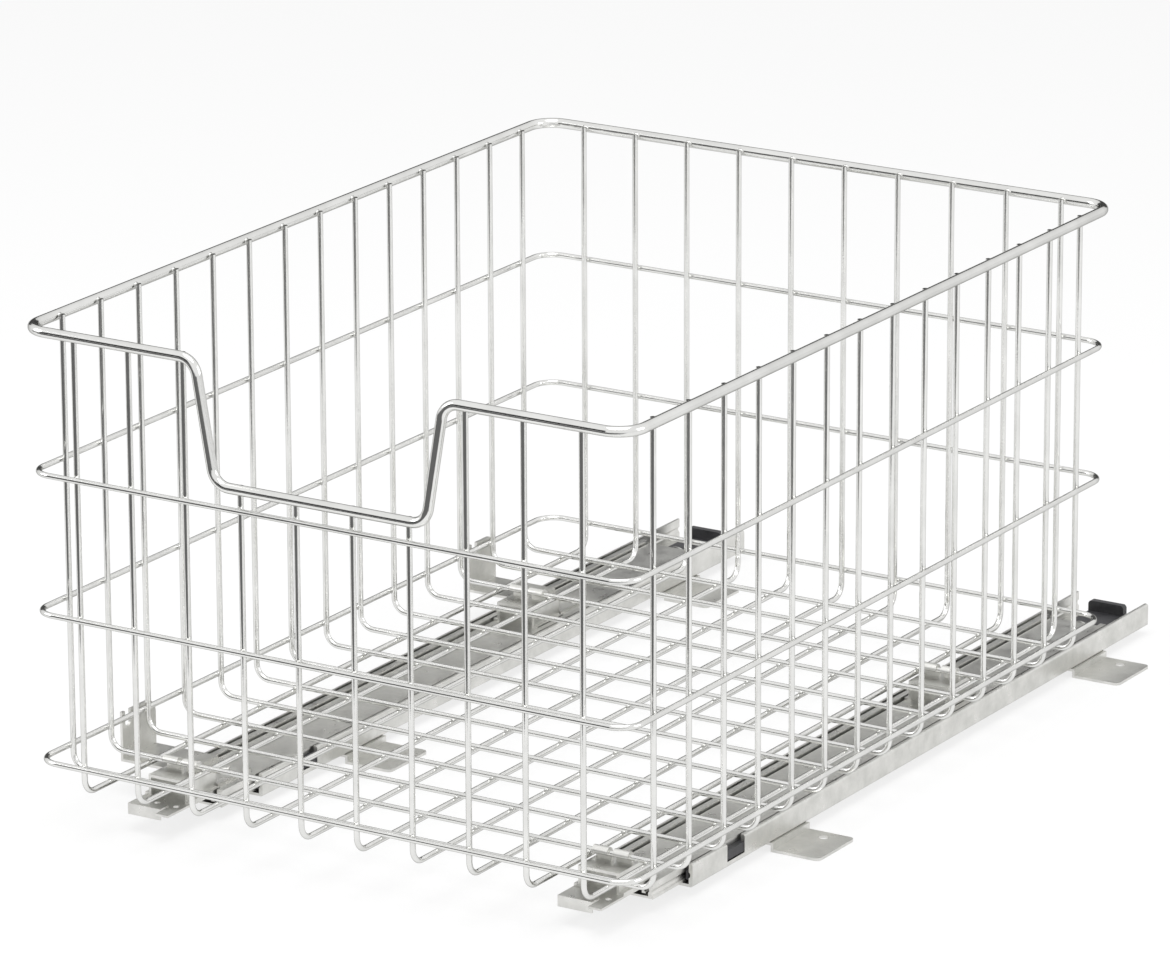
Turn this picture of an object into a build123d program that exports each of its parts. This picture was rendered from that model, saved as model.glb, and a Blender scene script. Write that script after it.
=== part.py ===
from build123d import *
import os

# Pull-out cabinet basket: a welded wire basket carried on two flat-lying,
# three-member ball-bearing slides. Millimetres. +Z is up and -Y is the front,
# where the basket pulls out. The origin is on the cabinet floor, in the middle
# of the whole object's footprint.

# ---------------------------------------------------------------- basket wire
basket_width = 349.3          # between centre lines of the left and right wall wires
basket_depth = 482.6          # between centre lines of the front and back wall wires
basket_height = 243.65        # from the long floor wires up to the rim, centre lines
wire_radius = 1.5
rim_radius = 2.75
weld_sink = 0.2               # how far two wires melt into each other at a weld
wire_bend_radius = 8.0        # centre-line bend from the floor into a wall
wire_top_above_rim = 1.0      # wall wires end this far above the rim's centre line
wire_pitch = 33.3
cross_wire_count = 14         # wires that run left to right and up both side walls
long_wire_count = 10          # wires that run front to back and up both end walls
ring_drops = (75.65, 149.9, 229.6)      # rings below the rim, centre lines
ring_corner_radius = 12.0
rim_corner_radius = 14.0
dip_depth = 64.0              # the scoop in the front of the rim
dip_top_width = 147.0
dip_bottom_width = 125.0
dip_bend_radius = 10.0

# --------------------------------------------------------------------- slides
slide_spacing = 260.5         # between the two slides' centre lines
rail_width = 45.7
rail_height = 12.5
rail_length = 489.0
rail_rear_overhang = 97.0     # outer rail behind the back of the rim
travel = 508.0                # full extension of the basket
outer_web = 1.5               # sheet of the outer rail's floor
outer_wall = 2.25             # formed wall of the outer rail, across the curl
rail_corner_radius = 1.2
outer_ball_radius = 1.9
inner_ball_radius = 1.5
ball_play = 0.05              # running clearance between a ball and its race
race_wall = 1.2               # metal left between the two races of the middle rail
member_gap = 1.2              # clearance between one rail and the next
web_gap = 1.3                 # between the outer and middle rail floors, for the cage
middle_web = 1.2
flange_height = 1.2           # top flange of the middle rail, over the outer balls
lip_drop = 0.4                # the middle rail's flange sits below the outer wall
inner_drop = 2.0              # the inner rail's top sits below the outer wall
inner_web = 1.2
inner_flange = 2.2            # thickness of the inner rail's side flanges
cage_sheet = 0.6
cage_gap = 0.3                # between a ball cage and the metal around it
cage_end_gap = 1.0            # between a cage and what it stops against
balls_per_side = 4
middle_front_reach = 31.0     # middle rail ahead of the outer rail's front end
middle_hole_x = 10.0          # hole in the middle rail's floor, right of its centre line
middle_hole_inset = 6.5       # and behind its front edge
inner_front_reach = 73.5      # inner rail's tongue ahead of the outer rail
rear_stop_inset = 38.0        # stop tab ahead of the outer rail's rear end
stop_gap = 5.0                # between the stop tab and the closed inner members
stop_tab_width = 14.0
stop_tab_sheet = 1.5
stop_tab_hole_radius = 1.6

# ---------------------------------------------- front end of the inner rail
nose_tab_width = 20.0         # left part of the front edge, bent down behind the right part
nose_tab_drop = 6.0
nose_slit = 1.5
nose_hole_radius = 1.7
nose_hole_inset = 8.0

# ------------------------------------------------------------ plastic pieces
guide_length = 56.0           # front guide strip along the outer race
guide_height = 5.0
guide_clearance = 0.3
guide_window = 17.0           # opening in the outer wall that the guide snaps into
guide_window_inset = 34.0     # from the rail's front end to the window
bumper_width = 22.0
bumper_base_length = 31.0
bumper_wall_gap = 1.0         # between the base and the outer rail's right wall
bumper_top_drop = 1.5         # upright below the outer rail's top
bumper_base_height = 3.5
bumper_sheet = 4.0            # the upright buffer
bumper_rear_inset = 3.0

# --------------------------------------------------------- sheet-metal holders
sheet = 1.5                   # feet, saddles and side brackets
foot_drop = 5.0               # outer rails above the cabinet floor
foot_length = 37.0            # along the slide
foot_reach = 28.3             # beyond the rail's side
foot_seat = 30.0              # part of the foot that is welded under the rail
foot_hole_radius = 2.75
foot_hole_reach = 14.0        # from the rail's side
foot_hole_setback = 11.0      # behind the middle of the foot
front_foot_inset = 95.5       # from the rail's front end to the middle of the foot
rear_foot_inset = 70.0        # from the rail's rear end to the middle of the foot
saddle_rise = 11.4            # inner rail's top to the underside of the wires
saddle_length = 26.0
saddle_top_width = 24.0
clip_width = 9.0
clip_gap = 3.0                # between the two clip tongues
saddle_row_inset = 1          # the saddles hook this many wires in from each end
bracket_leg_lift = 2.8        # bracket leg above the inner rail's top
bracket_seat = 22.0           # part of the bracket on the inner rail
bracket_height = 27.0
bracket_corner_radius = 8.0
bracket_slot_width = 5.0
bracket_slot_height = 12.0
front_bracket_length = 30.0
rear_bracket_length = 27.0
bracket_saddle_gap = 3.0      # between a saddle and the bracket beside it

# ------------------------------------------------------------- derived values
rim_offset = wire_radius + rim_radius - weld_sink
ring_offset = 2 * wire_radius - weld_sink
rim_depth = basket_depth + 2 * rim_offset
rim_width = basket_width + 2 * rim_offset
basket_y = -rail_rear_overhang / 2
rail_rear = basket_y + rim_depth / 2 + rim_radius + rail_rear_overhang
rail_front = rail_rear - rail_length

rail_z = foot_drop
rail_top = rail_z + rail_height
inner_top = rail_top - inner_drop
wire_underside = inner_top + saddle_rise
long_z = wire_underside + wire_radius
cross_z = long_z + 2 * wire_radius - weld_sink
rim_z = long_z + basket_height
left_x = -slide_spacing / 2
right_x = slide_spacing / 2
cross_rows = [basket_y + wire_pitch * (i - (cross_wire_count - 1) / 2) for i in range(cross_wire_count)]
long_rows = [wire_pitch * (i - (long_wire_count - 1) / 2) for i in range(long_wire_count)]

# the slide's section, measured from its own centre line and its own underside
half_rail = rail_width / 2
outer_race_x = half_rail - outer_wall + 0.9
outer_ball_x = outer_race_x - outer_ball_radius - ball_play
outer_inside = half_rail - outer_wall
middle_race_x = outer_ball_x - outer_ball_radius - ball_play
middle_inner_race_x = middle_race_x - race_wall
inner_ball_x = middle_inner_race_x - inner_ball_radius - ball_play
middle_outside = outer_ball_x - cage_sheet / 2 - 2 * cage_gap
middle_inside = inner_ball_x + cage_sheet / 2 + 2 * cage_gap
middle_flange_x = outer_inside - member_gap - 0.1
inner_race_x = inner_ball_x - inner_ball_radius - ball_play
inner_outside = inner_ball_x - cage_sheet / 2 - cage_gap
inner_half_web = middle_inside - member_gap
middle_floor = outer_web + web_gap
middle_height = rail_height - lip_drop
inner_height = rail_height - inner_drop
inner_cage_floor = middle_floor + middle_web + cage_gap
inner_flange_foot = inner_cage_floor + cage_sheet + cage_gap
ball_height = (inner_flange_foot + inner_height - inner_web) / 2
outer_ball_height = (outer_web + middle_height - flange_height) / 2

# where each member starts and ends when the basket is closed
stop_y = rail_rear - rear_stop_inset
middle_front = rail_front - middle_front_reach
middle_rear = stop_y - stop_gap
middle_length = middle_rear - middle_front
inner_front = rail_front - inner_front_reach
inner_rear = middle_rear
guide_rear = rail_front + guide_length
cage_front = guide_rear + travel / 4 + cage_end_gap
cage_rear = middle_rear - travel / 4 - cage_end_gap
cage_length = cage_rear - cage_front
ball_pitch = cage_length / balls_per_side
cage_middle = (cage_front + cage_rear) / 2
ball_rows = [cage_middle + ball_pitch * (i - (balls_per_side - 1) / 2) for i in range(balls_per_side)]


def save(name, part):
    """Name one piece and write its file."""
    part.label = name
    export_step(part, f"parts/{name}.step")


def section_at(slide_x, y):
    """Plane of a slide's cross-section at one place along it, facing the front."""
    return Plane(origin=(slide_x, y, rail_z), x_dir=(1, 0, 0), z_dir=(0, -1, 0))


# ---------------------------------------------------------------- wire basket
def bent_wire(points, bends, radius, closed=False):
    """One round wire bent along straight runs."""
    with BuildPart() as wire:
        with BuildLine() as path:
            FilletPolyline(*points, radius=bends, close=closed)
        with BuildSketch(Plane(origin=path.line @ 0, z_dir=path.line % 0)):
            Circle(radius)
        sweep(path=path.line)
    return wire.part


def rim_height_at(x):
    """Height of the front rim's centre line above the point x, through the dip."""
    low, high = dip_bottom_width / 2, dip_top_width / 2
    if abs(x) <= low:
        return rim_z - dip_depth
    if abs(x) >= high:
        return rim_z
    return rim_z - dip_depth * (high - abs(x)) / (high - low)


def rectangle_points(width, depth, z):
    """Four corners of a ring around the basket, from the back left corner."""
    x, front, back = width / 2, basket_y - depth / 2, basket_y + depth / 2
    return [(-x, back, z), (-x, front, z), (x, front, z), (x, back, z)]


def make_rim():
    back_left, front_left, front_right, back_right = rectangle_points(rim_width, rim_depth, rim_z)
    front = front_left[1]
    top, bottom = dip_top_width / 2, dip_bottom_width / 2
    low_z = rim_z - dip_depth
    dip = [(-top, front, rim_z), (-bottom, front, low_z), (bottom, front, low_z), (top, front, rim_z)]
    bends = [rim_corner_radius] * 2 + [dip_bend_radius] * 4 + [rim_corner_radius] * 2
    return bent_wire([back_left, front_left, *dip, front_right, back_right], bends, rim_radius, closed=True)


def make_ring(drop):
    width, depth = basket_width + 2 * ring_offset, basket_depth + 2 * ring_offset
    corners = rectangle_points(width, depth, rim_z - drop)
    return bent_wire(corners, ring_corner_radius, wire_radius, closed=True)


def make_cross_wires():
    """Wires across the floor and up both side walls."""
    x, top = basket_width / 2, rim_z + wire_top_above_rim
    with BuildPart() as wires:
        for y in cross_rows:
            points = [(-x, y, top), (-x, y, cross_z), (x, y, cross_z), (x, y, top)]
            add(bent_wire(points, wire_bend_radius, wire_radius))
    return wires.part


def make_long_wires():
    """Wires along the floor and up both end walls; those below the dip end at it."""
    front, back = basket_y - basket_depth / 2, basket_y + basket_depth / 2
    with BuildPart() as wires:
        for x in long_rows:
            front_top = rim_height_at(x) + wire_top_above_rim
            back_top = rim_z + wire_top_above_rim
            points = [(x, front, front_top), (x, front, long_z), (x, back, long_z), (x, back, back_top)]
            add(bent_wire(points, wire_bend_radius, wire_radius))
    return wires.part


# --------------------------------------------------------------------- slides
def make_outer_rail(slide_x):
    """Fixed member: a channel that opens upwards, with a ball race in each wall."""
    with BuildPart() as rail:
        with BuildSketch(section_at(slide_x, rail_rear)) as section:
            with Locations((0, rail_height / 2)):
                Rectangle(rail_width, rail_height)
            fillet(section.vertices(), rail_corner_radius)
            with Locations((0, outer_web)):
                Rectangle(2 * outer_inside, rail_height, align=(Align.CENTER, Align.MIN), mode=Mode.SUBTRACT)
            with Locations((-outer_ball_x, outer_ball_height), (outer_ball_x, outer_ball_height)):
                Circle(outer_ball_radius + ball_play, mode=Mode.SUBTRACT)
        extrude(amount=rail_length)
        # window in the right wall for the front guide's snap
        window_y = rail_front + guide_window_inset
        with Locations((slide_x + half_rail, window_y, rail_z + 2 * outer_web)):
            Box(2 * outer_wall, guide_window, rail_height, mode=Mode.SUBTRACT,
                align=(Align.CENTER, Align.MIN, Align.MIN))
        # stop tab lanced out of the floor, with the window that it leaves
        tab_height = rail_height - outer_web
        with BuildSketch(section_at(slide_x, stop_y + stop_tab_sheet)):
            with Locations((0, outer_web)):
                SlotOverall(2 * tab_height - stop_tab_width / 2, stop_tab_width, rotation=90)
            with Locations((0, outer_web)):
                Rectangle(stop_tab_width, 2 * rail_height, align=(Align.CENTER, Align.MAX),
                          mode=Mode.SUBTRACT)
            with Locations((0, outer_web + tab_height / 2)):
                Circle(stop_tab_hole_radius, mode=Mode.SUBTRACT)
        extrude(amount=stop_tab_sheet)
        with Locations((slide_x, stop_y, rail_z)):
            Box(stop_tab_width, tab_height, 2 * outer_web, mode=Mode.SUBTRACT,
                align=(Align.CENTER, Align.MAX, Align.CENTER))
    return rail.part


def make_middle_rail(slide_x):
    """Middle member: races outside for the outer balls and inside for the inner balls."""
    with BuildPart() as rail:
        with BuildSketch(section_at(slide_x, middle_rear)):
            with Locations((0, middle_floor)):
                Rectangle(2 * middle_outside, middle_height - middle_floor, align=(Align.CENTER, Align.MIN))
            with Locations((0, middle_height)):
                Rectangle(2 * middle_flange_x, flange_height, align=(Align.CENTER, Align.MAX))
            with Locations((0, middle_floor + middle_web)):
                Rectangle(2 * middle_inside, rail_height, align=(Align.CENTER, Align.MIN), mode=Mode.SUBTRACT)
            with Locations((-outer_ball_x, outer_ball_height), (outer_ball_x, outer_ball_height)):
                Circle(outer_ball_radius + ball_play, mode=Mode.SUBTRACT)
            with Locations((-inner_ball_x, ball_height), (inner_ball_x, ball_height)):
                Circle(inner_ball_radius + ball_play, mode=Mode.SUBTRACT)
        extrude(amount=middle_length)
        with Locations((slide_x + middle_hole_x, middle_front + middle_hole_inset, rail_z + middle_floor)):
            Cylinder(nose_hole_radius, 4 * middle_web, mode=Mode.SUBTRACT)
    return rail.part


def make_inner_rail(slide_x):
    """Moving member: its web is on top, its flanges hang between the inner balls."""
    with BuildPart() as rail:
        with BuildSketch(section_at(slide_x, inner_rear)):
            with Locations((0, inner_height)):
                Rectangle(2 * inner_half_web, inner_web, align=(Align.CENTER, Align.MAX))
            flange_x = inner_outside - inner_flange / 2
            with Locations((-flange_x, inner_height), (flange_x, inner_height)):
                Rectangle(inner_flange, inner_height - inner_flange_foot, align=(Align.CENTER, Align.MAX))
            with Locations((-inner_ball_x, ball_height), (inner_ball_x, ball_height)):
                Circle(inner_ball_radius + ball_play, mode=Mode.SUBTRACT)
        extrude(amount=inner_rear - middle_front)
        # flat tongue ahead of the other members
        with BuildSketch(Plane.XY.offset(inner_top - inner_web)):
            with Locations((slide_x, middle_front)):
                Rectangle(2 * inner_half_web, middle_front - inner_front, align=(Align.CENTER, Align.MAX))
            slit_x = slide_x - inner_half_web + nose_tab_width + nose_slit / 2
            with Locations((slit_x, inner_front)):
                Rectangle(nose_slit, 4 * nose_tab_drop, mode=Mode.SUBTRACT)
            with Locations((slide_x - inner_half_web, inner_front)):
                Rectangle(nose_tab_width, nose_tab_drop, align=Align.MIN, mode=Mode.SUBTRACT)
            hole_y = inner_front + nose_tab_drop + nose_hole_inset
            with Locations((slit_x - nose_hole_inset, hole_y), (slit_x + nose_hole_inset / 2, hole_y)):
                Circle(nose_hole_radius, mode=Mode.SUBTRACT)
        extrude(amount=inner_web)
        # the left part of the front edge is bent down
        with Locations((slide_x - inner_half_web, inner_front + nose_tab_drop, inner_top)):
            Box(nose_tab_width, inner_web, nose_tab_drop, align=(Align.MIN, Align.MIN, Align.MAX))
    return rail.part


def make_cage(slide_x, ball_x, height, radius, floor_z):
    """Ball cage: a thin channel whose sides are open at the top around every ball."""
    half = ball_x + cage_sheet / 2
    side_top = height + radius / 2
    with BuildPart() as cage:
        with BuildSketch(section_at(slide_x, cage_rear)):
            with Locations((0, floor_z)):
                Rectangle(2 * half, side_top - floor_z, align=(Align.CENTER, Align.MIN))
            with Locations((0, floor_z + cage_sheet)):
                Rectangle(2 * half - 2 * cage_sheet, rail_height, align=(Align.CENTER, Align.MIN),
                          mode=Mode.SUBTRACT)
        extrude(amount=cage_length)
        pocket_places = [(slide_x, y, rail_z + height) for y in ball_rows]
        with Locations(*pocket_places):
            Cylinder(radius + ball_play, 4 * half, rotation=(0, 90, 0), mode=Mode.SUBTRACT)
    return cage.part


def ball_places(slide_x, ball_x, height):
    """Ball centres: two rows, evenly spaced along the cage."""
    return [(slide_x + side * ball_x, y, rail_z + height) for side in (-1, 1) for y in ball_rows]


def make_balls(places, radius):
    """One ball in every pocket of a cage."""
    with BuildPart() as balls:
        with Locations(*places):
            Sphere(radius)
    return balls.part


# ------------------------------------------------------------- plastic pieces
def make_front_guide(slide_x):
    """Plastic strip in the right outer race, snapped into the window of the wall."""
    inner_face = middle_outside + guide_clearance
    strip = outer_inside - guide_clearance / 3 - inner_face
    window_y = rail_front + guide_window_inset
    with BuildPart() as guide:
        with Locations((slide_x + inner_face, rail_front, rail_z + outer_ball_height)):
            Box(strip, guide_length, guide_height, align=(Align.MIN, Align.MIN, Align.CENTER))
        snap = guide_window - 2 * guide_clearance
        with Locations((slide_x + inner_face, window_y + guide_clearance, rail_z + outer_ball_height)):
            Box(half_rail - inner_face - guide_clearance, snap, guide_height,
                align=(Align.MIN, Align.MIN, Align.CENTER))
        fillet(guide.edges().filter_by(Axis.X).group_by(Axis.Y)[0], guide_clearance)
    return guide.part


def make_rear_bumper(slide_x):
    """Plastic buffer behind the stop tab."""
    base_rear = rail_rear - bumper_rear_inset
    with BuildPart() as bumper:
        base_width = bumper_width / 2 + outer_inside - bumper_wall_gap
        upright_height = rail_height - bumper_top_drop - outer_web
        with BuildSketch(section_at(slide_x, base_rear)):
            with Locations((-bumper_width / 2, outer_web)):
                Rectangle(base_width, bumper_base_height, align=Align.MIN)
        extrude(amount=bumper_base_length)
        with BuildSketch(section_at(slide_x, base_rear)):
            with Locations((0, outer_web)):
                Rectangle(bumper_width, upright_height, align=(Align.CENTER, Align.MIN))
        extrude(amount=bumper_sheet)
        fillet(bumper.faces().sort_by(Axis.Z)[-1].edges().filter_by(Axis.Y), bumper_sheet / 2)
    return bumper.part


# -------------------------------------------------------- sheet-metal holders
def make_foot(slide_x, foot_y):
    """Stepped foot: welded under the rail, screwed to the cabinet floor beside it."""
    edge = slide_x + half_rail
    with BuildPart() as foot:
        with BuildSketch(Plane(origin=(0, foot_y + foot_length / 2, 0), x_dir=(1, 0, 0), z_dir=(0, -1, 0))):
            with BuildLine():
                step = Polyline((edge - foot_seat, rail_z - sheet), (edge, rail_z - sheet), (edge, 0),
                                (edge + foot_reach, 0), (edge + foot_reach, sheet), (edge + sheet, sheet),
                                (edge + sheet, rail_z), (edge - foot_seat, rail_z), close=True)
            make_face()
        extrude(amount=foot_length)
        with Locations((edge + foot_hole_reach, foot_y + foot_hole_setback, sheet)):
            Hole(foot_hole_radius)
        outer_corners = foot.edges().filter_by(Axis.Z).group_by(Axis.X)[-1]
        fillet(outer_corners, 2 * sheet)
    return foot.part


def make_saddle(slide_x, wire_y):
    """Hat-shaped saddle on the inner rail, with two tongues curled over a cross wire."""
    clip_inside = wire_radius
    clip_outside = clip_inside + sheet
    half_top = saddle_top_width / 2
    with BuildPart() as saddle:
        with BuildSketch(Plane(origin=(slide_x, wire_y + saddle_length / 2, inner_top), x_dir=(1, 0, 0),
                               z_dir=(0, -1, 0))):
            with Locations((0, saddle_rise / 2)):
                Rectangle(saddle_top_width, saddle_rise)
            with Locations((0, 0)):
                Rectangle(2 * inner_half_web, sheet, align=(Align.CENTER, Align.MIN))
            with Locations((0, 0)):
                Rectangle(saddle_top_width - 2 * sheet, saddle_rise - sheet,
                          align=(Align.CENTER, Align.MIN), mode=Mode.SUBTRACT)
        extrude(amount=saddle_length)
        # tongues: up beside the cross wire and curled over it
        for clip_x in (-(clip_width + clip_gap) / 2, (clip_width + clip_gap) / 2):
            with BuildSketch(Plane(origin=(slide_x + clip_x - clip_width / 2, 0, 0), x_dir=(0, 1, 0),
                                   z_dir=(1, 0, 0))):
                with Locations((wire_y, cross_z)):
                    Circle(clip_outside)
                    Circle(clip_inside, mode=Mode.SUBTRACT)
                    Rectangle(2 * clip_outside, 2 * clip_outside, align=(Align.CENTER, Align.MAX),
                              mode=Mode.SUBTRACT)
                with Locations((wire_y + clip_inside, wire_underside)):
                    Rectangle(sheet, cross_z - wire_underside, align=(Align.MIN, Align.MIN))
            extrude(amount=clip_width)
    return saddle.part


def make_side_bracket(slide_x, front_y, length):
    """Bracket from the inner rail, over the outer rail and up outside the lower ring."""
    leg_z = inner_top + bracket_leg_lift
    plate_inside = -(basket_width / 2 + ring_offset + wire_radius)
    plate_outside = plate_inside - sheet
    seat_right = slide_x + bracket_seat / 2
    seat_left = slide_x - bracket_seat / 2
    top = leg_z + bracket_height
    with BuildPart() as bracket:
        with BuildSketch(Plane(origin=(0, front_y + length, 0), x_dir=(1, 0, 0), z_dir=(0, -1, 0))):
            with BuildLine():
                Polyline((seat_right, inner_top), (seat_right, inner_top + sheet),
                         (seat_left + sheet, inner_top + sheet), (seat_left + sheet, leg_z + sheet),
                         (plate_inside, leg_z + sheet), (plate_inside, top), (plate_outside, top),
                         (plate_outside, leg_z), (seat_left, leg_z), (seat_left, inner_top), close=True)
            make_face()
        extrude(amount=length)
        rear_top = bracket.edges().filter_by(Axis.X).group_by(Axis.Z)[-1].sort_by(Axis.Y)[-1]
        fillet(rear_top, bracket_corner_radius)
        ring_z = rim_z - ring_drops[-1]
        slot_y = front_y + bracket_slot_width
        with BuildSketch(Plane(origin=(plate_outside, slot_y, ring_z), x_dir=(0, 1, 0), z_dir=(1, 0, 0))):
            SlotOverall(bracket_slot_height, bracket_slot_width, rotation=90)
        extrude(amount=sheet, mode=Mode.SUBTRACT)
    return bracket.part


# ------------------------------------------------------------- the whole object
os.makedirs("parts", exist_ok=True)

save("top_rim", make_rim())
for ring_name, ring_drop in zip(("upper_ring", "middle_ring", "lower_ring"), ring_drops):
    save(ring_name, make_ring(ring_drop))
save("cross_wires", make_cross_wires())
save("long_wires", make_long_wires())

front_foot_y = rail_front + front_foot_inset
rear_foot_y = rail_rear - rear_foot_inset
front_saddle_y = cross_rows[saddle_row_inset]
rear_saddle_y = cross_rows[-2 - saddle_row_inset]

for side, slide_x in (("left", left_x), ("right", right_x)):
    outer_places = ball_places(slide_x, outer_ball_x, outer_ball_height)
    inner_places = ball_places(slide_x, inner_ball_x, ball_height)
    outer_cage = make_cage(slide_x, outer_ball_x, outer_ball_height, outer_ball_radius, outer_web + cage_gap)
    inner_cage = make_cage(slide_x, inner_ball_x, ball_height, inner_ball_radius, inner_cage_floor)
    save(f"{side}_outer_rail", make_outer_rail(slide_x))
    save(f"{side}_middle_rail", make_middle_rail(slide_x))
    save(f"{side}_inner_rail", make_inner_rail(slide_x))
    save(f"{side}_outer_ball_cage", outer_cage)
    save(f"{side}_inner_ball_cage", inner_cage)
    save(f"{side}_outer_balls", make_balls(outer_places, outer_ball_radius))
    save(f"{side}_inner_balls", make_balls(inner_places, inner_ball_radius))
    save(f"{side}_front_guide", make_front_guide(slide_x))
    save(f"{side}_rear_bumper", make_rear_bumper(slide_x))
    save(f"{side}_front_foot", make_foot(slide_x, front_foot_y))
    save(f"{side}_rear_foot", make_foot(slide_x, rear_foot_y))
    save(f"{side}_front_saddle", make_saddle(slide_x, front_saddle_y))
    save(f"{side}_rear_saddle", make_saddle(slide_x, rear_saddle_y))

front_bracket_y = front_saddle_y + saddle_length / 2 + bracket_saddle_gap
rear_bracket_y = rear_saddle_y + saddle_length / 2 + bracket_saddle_gap
save("front_side_bracket", make_side_bracket(left_x, front_bracket_y, front_bracket_length))
save("rear_side_bracket", make_side_bracket(left_x, rear_bracket_y, rear_bracket_length))
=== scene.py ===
"""Finish, small details and studio for a pull-out cabinet basket.

The frame holds the basket's real pieces. This file gives them their chrome, zinc
and plastic, adds the weld beads and rivet heads, and sets the studio round them.
Lengths are in metres.
"""

import math

import bpy
from bpy.props import FloatProperty, FloatVectorProperty, IntProperty, PointerProperty
from mathutils import Matrix, Vector


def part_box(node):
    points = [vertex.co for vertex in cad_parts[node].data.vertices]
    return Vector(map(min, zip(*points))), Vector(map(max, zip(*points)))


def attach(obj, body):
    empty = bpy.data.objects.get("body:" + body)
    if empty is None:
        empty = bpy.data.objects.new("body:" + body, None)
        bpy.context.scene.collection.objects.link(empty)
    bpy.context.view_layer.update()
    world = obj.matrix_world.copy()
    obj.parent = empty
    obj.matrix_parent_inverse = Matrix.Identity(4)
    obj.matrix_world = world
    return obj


bl_info = {
    "name": "Pull-out Cabinet Basket",
    "version": (1, 0, 0),
    "blender": (4, 5, 0),
    "location": "View3D > Sidebar > Basket",
    "description": "Finishes a wire basket on ball-bearing slides and lights it in a plain studio",
    "category": "Object",
}

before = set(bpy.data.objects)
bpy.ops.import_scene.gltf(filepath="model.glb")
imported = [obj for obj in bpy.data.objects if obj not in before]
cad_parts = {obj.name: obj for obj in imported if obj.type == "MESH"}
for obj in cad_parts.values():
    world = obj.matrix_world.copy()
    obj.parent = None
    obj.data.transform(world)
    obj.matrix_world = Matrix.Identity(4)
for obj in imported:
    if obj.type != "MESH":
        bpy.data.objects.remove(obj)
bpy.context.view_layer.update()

BASKET = "basket"
RING_NODES = ("upper_ring", "middle_ring", "lower_ring")
WIRE_NODES = ("top_rim", "cross_wires", "long_wires") + RING_NODES
BRACKET_NODES = ("front_side_bracket", "rear_side_bracket")
SIDES = ("left", "right")

ALONG_X = (1, 0, 0)
ALONG_Y = (0, 1, 0)
ALONG_Z = (0, 0, 1)
WHITE = (1, 1, 1, 1)

BEAD_SEGMENTS = 12            # round a weld bead
BEAD_RINGS = 6                # from one pole of a bead to the other
BEAD_BULGE = 1.18             # how far a bead's middle is squeezed out, times its radius
RIM_BEAD_SCALE = 1.25         # a bead at the thick rim, times one at a thin ring

RIVET_SEGMENTS = 24           # round a rivet head
RIVET_ROUNDING = 0.7          # rounding of the head's edge, times its height
RIVET_CROWN = 0.45            # from the rounding to the dimple, times the radius
RIVET_DIMPLE = 0.25           # depth of the dimple, times the height
RIVET_SMOOTH_ANGLE = math.radians(50)
RIVET_SHARES = (0.28, 0.72)   # where the two rivets of a bracket stand, along its length

RUBBED_PLASTIC = 2.2          # how much paler the plastic is where it is rubbed


# ------------------------------------------------------------------- settings
class BasketWireSettings(bpy.types.PropertyGroup):
    """Sizes of the wire grid that the weld beads follow."""

    pitch: FloatProperty(
        name="Wire pitch", description="Distance between neighbouring wires",
        default=0.0333, min=0.01, unit="LENGTH")
    cross_count: IntProperty(
        name="Cross wires", description="Wires that run from left to right", default=14, min=2)
    long_count: IntProperty(
        name="Long wires", description="Wires that run from front to back", default=10, min=2)
    wire_radius: FloatProperty(
        name="Wire radius", description="Radius of the thin wire",
        default=0.0015, min=0.0005, unit="LENGTH")
    rim_radius: FloatProperty(
        name="Rim radius", description="Radius of the thick wire round the top",
        default=0.00275, min=0.0005, unit="LENGTH")
    bead_radius: FloatProperty(
        name="Bead radius", description="Radius of the metal squeezed out at a weld",
        default=0.00125, min=0.0003, unit="LENGTH")
    bead_thickness: FloatProperty(
        name="Bead thickness", description="Half thickness of a weld bead between its two wires",
        default=0.0008, min=0.0002, unit="LENGTH")


class BasketSheetSettings(bpy.types.PropertyGroup):
    """Sizes of the side brackets' sheet and of its rivets."""

    thickness: FloatProperty(
        name="Sheet thickness", description="Thickness of a side bracket's sheet",
        default=0.0015, min=0.0003, unit="LENGTH")
    rivet_radius: FloatProperty(
        name="Rivet head radius", description="Radius of a rivet head on a side bracket",
        default=0.0032, min=0.001, unit="LENGTH")
    rivet_height: FloatProperty(
        name="Rivet head height", description="How far a rivet head stands up",
        default=0.0013, min=0.0003, unit="LENGTH")


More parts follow.
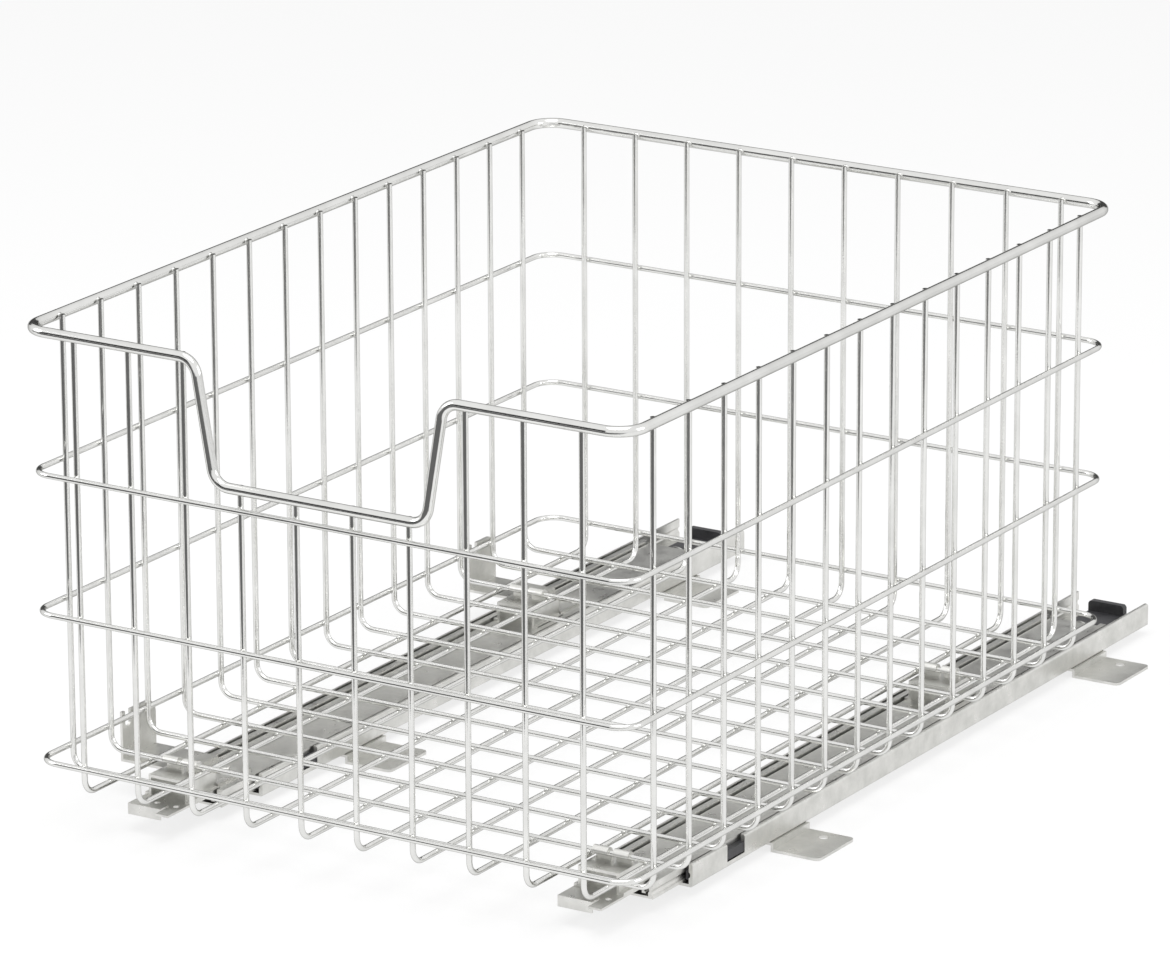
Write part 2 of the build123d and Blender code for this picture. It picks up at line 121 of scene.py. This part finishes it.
class BasketColourSettings(bpy.types.PropertyGroup):
    """Colours of the finishes."""

    chrome: FloatVectorProperty(
        name="Chrome", description="Bright plating on the wire",
        default=(0.82, 0.82, 0.805), size=3, min=0, max=1, subtype="COLOR")
    chrome_shade: FloatVectorProperty(
        name="Chrome, duller", description="Plating where it is a little thinner",
        default=(0.72, 0.72, 0.705), size=3, min=0, max=1, subtype="COLOR")
    chrome_edge: FloatVectorProperty(
        name="Chrome, edge on", description="Chrome's tone where it is seen at a grazing angle",
        default=(0.42, 0.42, 0.41), size=3, min=0, max=1, subtype="COLOR")
    zinc_edge: FloatVectorProperty(
        name="Zinc, edge on", description="Tone of zinc and plain steel at a grazing angle",
        default=(0.80, 0.80, 0.79), size=3, min=0, max=1, subtype="COLOR")
    zinc: FloatVectorProperty(
        name="Zinc", description="Zinc plating on the slides",
        default=(0.76, 0.755, 0.73), size=3, min=0, max=1, subtype="COLOR")
    zinc_shade: FloatVectorProperty(
        name="Zinc, duller", description="Clouds in the zinc plating",
        default=(0.62, 0.62, 0.595), size=3, min=0, max=1, subtype="COLOR")
    strip: FloatVectorProperty(
        name="Strip steel", description="Bare steel of the ball cages",
        default=(0.50, 0.50, 0.49), size=3, min=0, max=1, subtype="COLOR")
    ball: FloatVectorProperty(
        name="Ball steel", description="Polished bearing balls",
        default=(0.78, 0.78, 0.79), size=3, min=0, max=1, subtype="COLOR")
    plastic: FloatVectorProperty(
        name="Plastic", description="Moulded plastic of the guides and buffers",
        default=(0.022, 0.022, 0.024), size=3, min=0, max=1, subtype="COLOR")


class BasketStudioSettings(bpy.types.PropertyGroup):
    """Camera, floor and lamps."""

    azimuth: FloatProperty(
        name="Azimuth", description="Camera's turn to the right of the front",
        default=math.radians(31.9976), subtype="ANGLE")
    elevation: FloatProperty(
        name="Elevation", description="Camera's angle above the horizon",
        default=math.radians(17.2369), subtype="ANGLE")
    roll: FloatProperty(
        name="Roll", description="Camera's turn about its own axis",
        default=math.radians(-0.2444), subtype="ANGLE")
    distance: FloatProperty(
        name="Distance", description="Camera to the point it looks at",
        default=3.7965, min=0.5, unit="LENGTH")
    target: FloatVectorProperty(
        name="Target", description="Point that the camera looks at",
        default=(-0.00118, -0.04549, 0.15001), size=3, subtype="TRANSLATION")
    lens: FloatProperty(
        name="Lens", description="Focal length in millimetres, on a 36 mm wide sensor",
        default=223.855, min=10)
    floor_size: FloatProperty(
        name="Floor size", description="Side of the square floor",
        default=40.0, min=2, unit="LENGTH")
    floor_tone: FloatProperty(
        name="Floor tone", description="How pale the floor is", default=0.92, min=0, max=1)
    floor_glow: FloatProperty(
        name="Floor glow", description="Share of plain white in the floor where it is seen",
        default=0.72, min=0, max=1)
    key_power: FloatProperty(
        name="Key lamp", description="Power of the large lamp over the basket",
        default=34, unit="POWER")
    side_power: FloatProperty(
        name="Side lamps", description="Power of each lamp beside the basket",
        default=16, unit="POWER")
    sky_level: FloatProperty(
        name="Sky level", description="Light that comes from all round", default=0.62, min=0)
    front_card_tone: FloatProperty(
        name="Front card", description="Tone of the dark card that lies before the basket",
        default=0.16, min=0, max=1)
    wall_card_tone: FloatProperty(
        name="Wall card", description="Tone of the dark card that stands before the basket",
        default=0.05, min=0, max=1)
    back_card_tone: FloatProperty(
        name="Back card", description="Tone of the grey card that stands behind the basket",
        default=0.12, min=0, max=1)


def settings(name):
    """The scene's settings of one kind."""
    return getattr(bpy.context.scene, name)


# ------------------------------------------------------------- shader helpers
def add_node(tree, kind, **values):
    """A shader node, with its properties and unlinked input values set."""
    node = tree.nodes.new(kind)
    for key, value in values.items():
        if key in node.inputs:
            node.inputs[key].default_value = value
        else:
            setattr(node, key, value)
    return node


def new_group(name, inputs, outputs):
    """An empty shader node group with named inputs and outputs."""
    group = bpy.data.node_groups.new(name, "ShaderNodeTree")
    for socket, kind, default in inputs:
        made = group.interface.new_socket(name=socket, in_out="INPUT", socket_type=kind)
        made.default_value = default
    for socket, kind in outputs:
        group.interface.new_socket(name=socket, in_out="OUTPUT", socket_type=kind)
    return group, group.nodes.new("NodeGroupInput"), group.nodes.new("NodeGroupOutput")


def clouds_group():
    """Soft clouds in a plating: a mask, and a value between two limits."""
    name = "plating_clouds"
    if name in bpy.data.node_groups:
        return bpy.data.node_groups[name]
    group, given, result = new_group(
        name,
        [("Vector", "NodeSocketVector", (0, 0, 0)), ("Scale", "NodeSocketFloat", 60.0),
         ("Low", "NodeSocketFloat", 0.1), ("High", "NodeSocketFloat", 0.2)],
        [("Mask", "NodeSocketFloat"), ("Value", "NodeSocketFloat")])
    noise = add_node(group, "ShaderNodeTexNoise", Detail=5.0, Roughness=0.6)
    spread = add_node(group, "ShaderNodeMapRange", **{"From Min": 0.32, "From Max": 0.68})
    limits = add_node(group, "ShaderNodeMapRange")
    link = group.links.new
    link(given.outputs["Vector"], noise.inputs["Vector"])
    link(given.outputs["Scale"], noise.inputs["Scale"])
    link(noise.outputs["Fac"], spread.inputs["Value"])
    link(spread.outputs["Result"], limits.inputs["Value"])
    link(given.outputs["Low"], limits.inputs["To Min"])
    link(given.outputs["High"], limits.inputs["To Max"])
    link(spread.outputs["Result"], result.inputs["Mask"])
    link(limits.outputs["Result"], result.inputs["Value"])
    return group


def grain_group():
    """Fine lines left by rolling or drawing: a height that is long one way."""
    name = "rolled_grain"
    if name in bpy.data.node_groups:
        return bpy.data.node_groups[name]
    group, given, result = new_group(
        name,
        [("Vector", "NodeSocketVector", (0, 0, 0)),
         ("Lines", "NodeSocketVector", (1000, 1000, 1000))],
        [("Height", "NodeSocketFloat")])
    stretch = add_node(group, "ShaderNodeVectorMath", operation="MULTIPLY")
    noise = add_node(group, "ShaderNodeTexNoise", Scale=1.0, Detail=3.0, Roughness=0.55)
    link = group.links.new
    link(given.outputs["Vector"], stretch.inputs[0])
    link(given.outputs["Lines"], stretch.inputs[1])
    link(stretch.outputs["Vector"], noise.inputs["Vector"])
    link(noise.outputs["Fac"], result.inputs["Height"])
    return group


def place_group(tree, group, vector, **values):
    """A node group in a material, fed with a vector and its own values."""
    node = tree.nodes.new("ShaderNodeGroup")
    node.node_tree = group
    tree.links.new(vector, node.inputs["Vector"])
    for key, value in values.items():
        node.inputs[key].default_value = value
    return node


def finish_material(name, bright, dull, edge=None, *, cloud_scale, rough, lines, relief):
    """A plated surface, or a moulded one where no edge tone is given.

    Its colour goes from bright to dull in clouds, and its roughness from the first to the
    second value of rough. The grain has so many lines per metre each way, and relief is the
    strength and the height that the grain is lit with.
    """
    if name in bpy.data.materials:
        return bpy.data.materials[name]
    material = bpy.data.materials.new(name)
    material.use_nodes = True
    tree = material.node_tree
    shader = tree.nodes["Principled BSDF"]
    shader.inputs["Metallic"].default_value = 1.0 if edge else 0.0
    if edge:
        shader.inputs["Specular Tint"].default_value = (*edge, 1)
    place = add_node(tree, "ShaderNodeTexCoord").outputs["Object"]
    least, most = rough
    clouds = place_group(tree, clouds_group(), place, Scale=cloud_scale, Low=least, High=most)
    grain = place_group(tree, grain_group(), place, Lines=lines)
    tone = add_node(tree, "ShaderNodeMix", data_type="RGBA")
    tone.inputs["A"].default_value = (*bright, 1)
    tone.inputs["B"].default_value = (*dull, 1)
    strength, height = relief
    bump = add_node(tree, "ShaderNodeBump", Strength=strength, Distance=height)
    link = tree.links.new
    link(clouds.outputs["Mask"], tone.inputs["Factor"])
    link(tone.outputs["Result"], shader.inputs["Base Color"])
    link(clouds.outputs["Value"], shader.inputs["Roughness"])
    link(grain.outputs["Height"], bump.inputs["Height"])
    link(bump.outputs["Normal"], shader.inputs["Normal"])
    return material


def chrome_plating():
    """Bright plating on the drawn wire."""
    colours = settings("basket_colours")
    return finish_material(
        "chrome_plating", colours.chrome, colours.chrome_shade, colours.chrome_edge,
        cloud_scale=45.0, rough=(0.06, 0.13), lines=(900, 900, 900), relief=(0.06, 0.0002))


def weld_metal():
    """The plating where it lies on a rough weld bead."""
    colours = settings("basket_colours")
    return finish_material(
        "plated_weld", colours.chrome_shade, colours.chrome_shade, colours.chrome_edge,
        cloud_scale=300.0, rough=(0.22, 0.36), lines=(1800, 1800, 1800), relief=(0.25, 0.0003))


def zinc_sheet():
    """Zinc plating on rolled sheet, with its grain along the slides."""
    colours = settings("basket_colours")
    return finish_material(
        "zinc_sheet", colours.zinc, colours.zinc_shade, colours.zinc_edge,
        cloud_scale=85.0, rough=(0.26, 0.42), lines=(1400, 60, 1400), relief=(0.12, 0.0003))


def strip_steel():
    """Bare strip of the ball cages."""
    colours = settings("basket_colours")
    return finish_material(
        "strip_steel", colours.strip, colours.zinc_shade, colours.zinc_edge,
        cloud_scale=120.0, rough=(0.24, 0.38), lines=(1600, 90, 1600), relief=(0.10, 0.0002))


def polished_ball():
    """Polished steel of the bearing balls."""
    colours = settings("basket_colours")
    return finish_material(
        "polished_ball", colours.ball, colours.chrome_shade, colours.chrome_edge,
        cloud_scale=400.0, rough=(0.05, 0.10), lines=(2500, 2500, 2500), relief=(0.03, 0.0001))


def moulded_plastic():
    """Black plastic, a little paler where it is rubbed."""
    colours = settings("basket_colours")
    rubbed = [RUBBED_PLASTIC * value for value in colours.plastic]
    return finish_material(
        "moulded_plastic", colours.plastic, rubbed,
        cloud_scale=140.0, rough=(0.42, 0.58), lines=(2600, 2600, 2600), relief=(0.30, 0.0003))


def coat(node, material):
    """Give a piece of the frame its finish."""
    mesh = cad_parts[node].data
    mesh.materials.clear()
    mesh.materials.append(material)


# ------------------------------------------------------------ modelling helpers
def deselect():
    """Leave edit mode, with nothing selected."""
    if bpy.context.mode != "OBJECT":
        bpy.ops.object.mode_set(mode="OBJECT")
    bpy.ops.object.select_all(action="DESELECT")


def select_vertices(obj, test):
    """In edit mode, select the vertices whose own place passes the test."""
    bpy.ops.mesh.select_all(action="DESELECT")
    bpy.ops.object.mode_set(mode="OBJECT")
    for vertex in obj.data.vertices:
        vertex.select = test(vertex.co)
    bpy.ops.object.mode_set(mode="EDIT")


def make_bead(radius, thickness):
    """One weld bead: a flattened ball with metal squeezed out round its middle."""
    deselect()
    bpy.ops.mesh.primitive_uv_sphere_add(
        segments=BEAD_SEGMENTS, ring_count=BEAD_RINGS, radius=radius)
    bead = bpy.context.object
    bpy.ops.object.mode_set(mode="EDIT")
    bpy.ops.mesh.select_mode(type="VERT")
    bpy.ops.mesh.select_all(action="SELECT")
    bpy.ops.transform.resize(value=(1, 1, thickness / radius))
    middle = 0.05 * thickness
    select_vertices(bead, lambda place: abs(place.z) < middle)
    bpy.ops.transform.resize(value=(BEAD_BULGE, BEAD_BULGE, 1))
    bpy.ops.object.mode_set(mode="OBJECT")
    bpy.ops.object.shade_smooth()
    return bead


def make_rivet(radius, height):
    """One mushroom rivet head on its seat, with a small dimple in the crown."""
    deselect()
    bpy.ops.mesh.primitive_cylinder_add(
        vertices=RIVET_SEGMENTS, radius=radius, depth=height, location=(0, 0, height / 2))
    bpy.ops.object.transform_apply(location=True, rotation=False, scale=False)
    rivet = bpy.context.object
    bpy.ops.object.mode_set(mode="EDIT")
    bpy.ops.mesh.select_mode(type="VERT")
    top_edge = 0.9 * height
    select_vertices(rivet, lambda place: place.z > top_edge)
    bpy.ops.mesh.bevel(offset=RIVET_ROUNDING * height, segments=4, profile=0.5, affect="EDGES")
    flat_top = 0.98 * height
    select_vertices(rivet, lambda place: place.z > flat_top)
    bpy.ops.mesh.select_mode(type="FACE")
    bpy.ops.mesh.inset(thickness=RIVET_CROWN * radius)
    bpy.ops.transform.translate(value=(0, 0, -RIVET_DIMPLE * height))
    bpy.ops.mesh.select_mode(type="VERT")
    bpy.ops.object.mode_set(mode="OBJECT")
    bpy.ops.object.shade_smooth_by_angle(angle=RIVET_SMOOTH_ANGLE)
    return rivet


def copies_at(pattern, places, name):
    """Copies of one small mesh at many places, joined as one piece at the origin.

    Each place is a point and the direction that the pattern's own Z turns to.
    """
    made = []
    for point, direction in places:
        copy = bpy.data.objects.new(name, pattern.data.copy())
        turn = Vector(direction).to_track_quat("Z", "Y").to_matrix().to_4x4()
        copy.data.transform(Matrix.Translation(point) @ turn)
        bpy.context.collection.objects.link(copy)
        made.append(copy)
    deselect()
    for copy in made:
        copy.select_set(True)
    bpy.context.view_layer.objects.active = made[0]
    bpy.ops.object.join()
    joined = bpy.context.object
    joined.name = name
    joined.data.name = name
    joined.select_set(False)
    bpy.data.objects.remove(pattern)
    return joined


def finish_piece(piece, material, body):
    """Material and body of a new piece."""
    piece.data.materials.clear()
    piece.data.materials.append(material)
    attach(piece, body)


# ---------------------------------------------------------------- weld places
def even_places(middle, pitch, count):
    """Evenly spaced places on both sides of a middle."""
    return [middle + pitch * (i - (count - 1) / 2) for i in range(count)]


def grid_places():
    """Centre lines of the wire grid: x of the long wires and y of the cross wires."""
    wires = settings("basket_wires")
    low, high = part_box("cross_wires")
    long_x = even_places((low.x + high.x) / 2, wires.pitch, wires.long_count)
    cross_y = even_places((low.y + high.y) / 2, wires.pitch, wires.cross_count)
    return long_x, cross_y


def front_top(x):
    """Height of the long wire's front end at x, read from the frame's mesh."""
    near = 2.5 * settings("basket_wires").wire_radius
    low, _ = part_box("long_wires")
    ends = [vertex.co.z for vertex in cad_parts["long_wires"].data.vertices
            if abs(vertex.co.x - x) < near and vertex.co.y < low.y + near]
    return max(ends)


def wall_places(height, front_height=None):
    """A weld's point and direction on every wall wire, all at one height.

    Where front_height is given, it tells the height of each weld in the front from its x.
    """
    long_x, cross_y = grid_places()
    low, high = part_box("long_wires")
    side_low, side_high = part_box("cross_wires")
    places = []
    for x in long_x:
        front = front_height(x) if front_height else height
        places.append(((x, low.y, front), ALONG_Y))
        places.append(((x, high.y, height), ALONG_Y))
    for y in cross_y:
        places.append(((side_low.x, y, height), ALONG_X))
        places.append(((side_high.x, y, height), ALONG_X))
    return places


def add_welds(name, places, radius):
    """One piece of weld metal on the basket, with a bead at every place."""
    bead = make_bead(radius, settings("basket_wires").bead_thickness)
    finish_piece(copies_at(bead, places, name), weld_metal(), BASKET)


# ----------------------------------------------------------------- operators
class BASKET_OT_coat_wires(bpy.types.Operator):
    """Give every wire its bright chrome"""

    bl_idname = "basket.coat_wires"
    bl_label = "Chrome the Wires"

    def execute(self, context):
        for node in WIRE_NODES:
            coat(node, chrome_plating())
        return {"FINISHED"}


class BASKET_OT_coat_slides(bpy.types.Operator):
    """Give the rails, feet, saddles and brackets their zinc, and the cages and balls their steel"""

    bl_idname = "basket.coat_slides"
    bl_label = "Finish the Slides"

    def execute(self, context):
        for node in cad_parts:
            if node.endswith("_ball_cage"):
                coat(node, strip_steel())
            elif node.endswith("_balls"):
                coat(node, polished_ball())
            elif node.endswith(("_rail", "_foot", "_saddle", "_bracket")):
                coat(node, zinc_sheet())
        return {"FINISHED"}


class BASKET_OT_coat_plastic(bpy.types.Operator):
    """Give the front guides and rear buffers their black plastic"""

    bl_idname = "basket.coat_plastic"
    bl_label = "Finish the Plastic"

    def execute(self, context):
        for side in SIDES:
            for piece in ("front_guide", "rear_bumper"):
                coat(f"{side}_{piece}", moulded_plastic())
        return {"FINISHED"}


class BASKET_OT_rim_welds(bpy.types.Operator):
    """Weld beads where the wall wires meet the thick rim"""

    bl_idname = "basket.rim_welds"
    bl_label = "Rim Welds"

    def execute(self, context):
        wires = settings("basket_wires")
        _, rim_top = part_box("top_rim")
        _, wire_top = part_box("long_wires")
        rim_z = rim_top.z - wires.rim_radius
        drop = wire_top.z - rim_z
        places = wall_places(rim_z, lambda x: front_top(x) - drop)
        add_welds("rim_welds", places, RIM_BEAD_SCALE * wires.bead_radius)
        return {"FINISHED"}


class BASKET_OT_ring_welds(bpy.types.Operator):
    """Weld beads where the three rings cross the wall wires"""

    bl_idname = "basket.ring_welds"
    bl_label = "Ring Welds"

    def execute(self, context):
        places = []
        for ring in RING_NODES:
            low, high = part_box(ring)
            places += wall_places((low.z + high.z) / 2)
        add_welds("ring_welds", places, settings("basket_wires").bead_radius)
        return {"FINISHED"}


class BASKET_OT_floor_welds(bpy.types.Operator):
    """Weld beads where the floor wires cross each other"""

    bl_idname = "basket.floor_welds"
    bl_label = "Floor Welds"

    def execute(self, context):
        long_x, cross_y = grid_places()
        cross_low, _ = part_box("cross_wires")
        places = [((x, y, cross_low.z), ALONG_Z) for x in long_x for y in cross_y]
        add_welds("floor_welds", places, settings("basket_wires").bead_radius)
        return {"FINISHED"}


class BASKET_OT_bracket_rivets(bpy.types.Operator):
    """Rivet heads that hold the side brackets to the left inner rail"""

    bl_idname = "basket.bracket_rivets"
    bl_label = "Bracket Rivets"

    def execute(self, context):
        sheet = settings("basket_sheets")
        rail_low, rail_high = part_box("left_inner_rail")
        middle_x = (rail_low.x + rail_high.x) / 2
        places = []
        for node in BRACKET_NODES:
            low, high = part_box(node)
            seat_top = low.z + sheet.thickness
            for share in RIVET_SHARES:
                places.append(((middle_x, low.y + share * (high.y - low.y), seat_top), ALONG_Z))
        rivet = make_rivet(sheet.rivet_radius, sheet.rivet_height)
        finish_piece(copies_at(rivet, places, "bracket_rivets"), zinc_sheet(), BASKET)
        return {"FINISHED"}


class BASKET_OT_stage(bpy.types.Operator):
    """Plain pale floor, soft lamps and the camera at the photograph's angle"""

    bl_idname = "basket.stage"
    bl_label = "Studio"

    def execute(self, context):
        studio = settings("basket_studio")
        make_floor(studio)
        make_sky(studio)
        make_lamps(studio)
        make_cards(studio)
        make_camera(studio)
        context.scene.view_settings.view_transform = "Standard"
        return {"FINISHED"}


# --------------------------------------------------------------------- studio
def seen_directly(tree):
    """1 for camera, glossy and transmission rays, else 0."""
    path = tree.nodes.new("ShaderNodeLightPath")
    first = add_node(tree, "ShaderNodeMath", operation="MAXIMUM")
    second = add_node(tree, "ShaderNodeMath", operation="MAXIMUM")
    tree.links.new(path.outputs["Is Camera Ray"], first.inputs[0])
    tree.links.new(path.outputs["Is Glossy Ray"], first.inputs[1])
    tree.links.new(first.outputs[0], second.inputs[0])
    tree.links.new(path.outputs["Is Transmission Ray"], second.inputs[1])
    return second.outputs[0]


def make_floor(studio):
    """A plain floor that is nearly white and keeps a soft shadow."""
    deselect()
    bpy.ops.mesh.primitive_plane_add(size=studio.floor_size)
    floor = bpy.context.object
    floor.name = "studio_floor"
    material = bpy.data.materials.new("pale_floor")
    material.use_nodes = True
    tree = material.node_tree
    output = tree.nodes["Material Output"]
    tree.nodes.remove(tree.nodes["Principled BSDF"])
    matt = add_node(tree, "ShaderNodeBsdfDiffuse", Color=(*[studio.floor_tone] * 3, 1))
    glow = add_node(tree, "ShaderNodeEmission", Color=WHITE, Strength=1.0)
    share = add_node(tree, "ShaderNodeMath", operation="MULTIPLY")
    share.inputs[1].default_value = studio.floor_glow
    mix = tree.nodes.new("ShaderNodeMixShader")
    tree.links.new(seen_directly(tree), share.inputs[0])
    tree.links.new(share.outputs[0], mix.inputs[0])
    tree.links.new(matt.outputs[0], mix.inputs[1])
    tree.links.new(glow.outputs[0], mix.inputs[2])
    tree.links.new(mix.outputs[0], output.inputs["Surface"])
    floor.data.materials.append(material)


def make_sky(studio):
    """White where it is seen, and an even level of light elsewhere."""
    world = bpy.data.worlds.new("studio_sky")
    bpy.context.scene.world = world
    world.use_nodes = True
    tree = world.node_tree
    lit = tree.nodes["Background"]
    lit.inputs["Color"].default_value = WHITE
    lit.inputs["Strength"].default_value = studio.sky_level
    seen = add_node(tree, "ShaderNodeBackground", Color=WHITE, Strength=1.0)
    mix = tree.nodes.new("ShaderNodeMixShader")
    tree.links.new(seen_directly(tree), mix.inputs[0])
    tree.links.new(lit.outputs[0], mix.inputs[1])
    tree.links.new(seen.outputs[0], mix.inputs[2])
    tree.links.new(mix.outputs[0], tree.nodes["World Output"].inputs["Surface"])


def make_lamp(name, place, aim, size, power):
    """One square soft lamp."""
    lamp = bpy.data.lights.new(name, "AREA")
    lamp.shape = "SQUARE"
    lamp.size = size
    lamp.energy = power
    obj = bpy.data.objects.new(name, lamp)
    bpy.context.collection.objects.link(obj)
    obj.location = place
    obj.rotation_euler = (Vector(aim) - Vector(place)).to_track_quat("-Z", "Y").to_euler()


def make_lamps(studio):
    """A large lamp over the basket and one on each side of it."""
    make_lamp("key_lamp", place=(0.3, -0.6, 2.4), aim=studio.target, size=1.6,
              power=studio.key_power)
    make_lamp("left_lamp", place=(-2.2, -1.4, 1.3), aim=studio.target, size=1.2,
              power=studio.side_power)
    make_lamp("right_lamp", place=(2.4, 0.6, 1.2), aim=studio.target, size=1.2,
              power=studio.side_power)


def make_card(name, size, place, turn, tone):
    """A card that only shiny surfaces see."""
    deselect()
    bpy.ops.mesh.primitive_plane_add(size=1, location=place, rotation=turn)
    card = bpy.context.object
    card.name = name
    card.scale = (*size, 1)
    for ray in ("camera", "diffuse", "transmission", "volume_scatter", "shadow"):
        setattr(card, f"visible_{ray}", False)
    material = bpy.data.materials.new(name)
    material.use_nodes = True
    tree = material.node_tree
    tree.nodes.remove(tree.nodes["Principled BSDF"])
    flat = add_node(tree, "ShaderNodeEmission", Color=(*[tone] * 3, 1), Strength=1.0)
    tree.links.new(flat.outputs[0], tree.nodes["Material Output"].inputs["Surface"])
    card.data.materials.append(material)


def make_cards(studio):
    """Dark lines in the wires come from two cards before the basket and one behind it."""
    upright = math.radians(90)
    make_card("front_card", size=(4.0, 2.0), place=(-0.8, -1.6, 0.004), turn=(0, 0, 0),
              tone=studio.front_card_tone)
    make_card("wall_card", size=(2.6, 1.3), place=(-1.8, -3.0, 0.66), turn=(upright, 0, 0),
              tone=studio.wall_card_tone)
    make_card("back_card", size=(6.0, 1.6), place=(-2.2, 3.4, 1.3),
              turn=(upright, 0, math.radians(35)), tone=studio.back_card_tone)


def make_camera(studio):
    """Camera at the photograph's viewing angle."""
    flat = math.cos(studio.elevation)
    back = Vector((math.sin(studio.azimuth) * flat, -math.cos(studio.azimuth) * flat,
                   math.sin(studio.elevation)))
    data = bpy.data.cameras.new("photo_camera")
    data.sensor_width = 36.0
    data.lens = studio.lens
    data.clip_end = 100.0
    camera = bpy.data.objects.new("photo_camera", data)
    bpy.context.collection.objects.link(camera)
    camera.rotation_mode = "QUATERNION"
    turn = (-back).to_track_quat("-Z", "Y").to_matrix() @ Matrix.Rotation(studio.roll, 3, "Z")
    camera.rotation_quaternion = turn.to_quaternion()
    camera.location = Vector(studio.target) + studio.distance * back
    bpy.context.scene.camera = camera


class BASKET_PT_panel(bpy.types.Panel):
    """Buttons for the pieces, and their settings"""

    bl_label = "Pull-out Basket"
    bl_idname = "BASKET_PT_panel"
    bl_space_type = "VIEW_3D"
    bl_region_type = "UI"
    bl_category = "Basket"

    def draw(self, context):
        for operator in OPERATORS:
            self.layout.operator(operator.bl_idname)
        for name in SETTINGS:
            group = settings(name)
            box = self.layout.box()
            for key in group.bl_rna.properties.keys():
                if key not in ("rna_type", "name"):
                    box.prop(group, key)


SETTINGS = {
    "basket_wires": BasketWireSettings,
    "basket_sheets": BasketSheetSettings,
    "basket_colours": BasketColourSettings,
    "basket_studio": BasketStudioSettings,
}
OPERATORS = (
    BASKET_OT_coat_wires,
    BASKET_OT_coat_slides,
    BASKET_OT_coat_plastic,
    BASKET_OT_rim_welds,
    BASKET_OT_ring_welds,
    BASKET_OT_floor_welds,
    BASKET_OT_bracket_rivets,
    BASKET_OT_stage,
)


def register():
    """Register the settings, the operators and the panel."""
    for cls in (*SETTINGS.values(), *OPERATORS, BASKET_PT_panel):
        bpy.utils.register_class(cls)
    for name, cls in SETTINGS.items():
        setattr(bpy.types.Scene, name, PointerProperty(type=cls))


def unregister():
    """Take away what register added."""
    for name in SETTINGS:
        delattr(bpy.types.Scene, name)
    for cls in reversed((*SETTINGS.values(), *OPERATORS, BASKET_PT_panel)):
        bpy.utils.unregister_class(cls)


def main():
    """Finish the frame's pieces, add the small details and set the studio."""
    register()
    for operator in OPERATORS:
        group, name = operator.bl_idname.split(".")
        getattr(getattr(bpy.ops, group), name)()


if __name__ == "__main__":
    main()
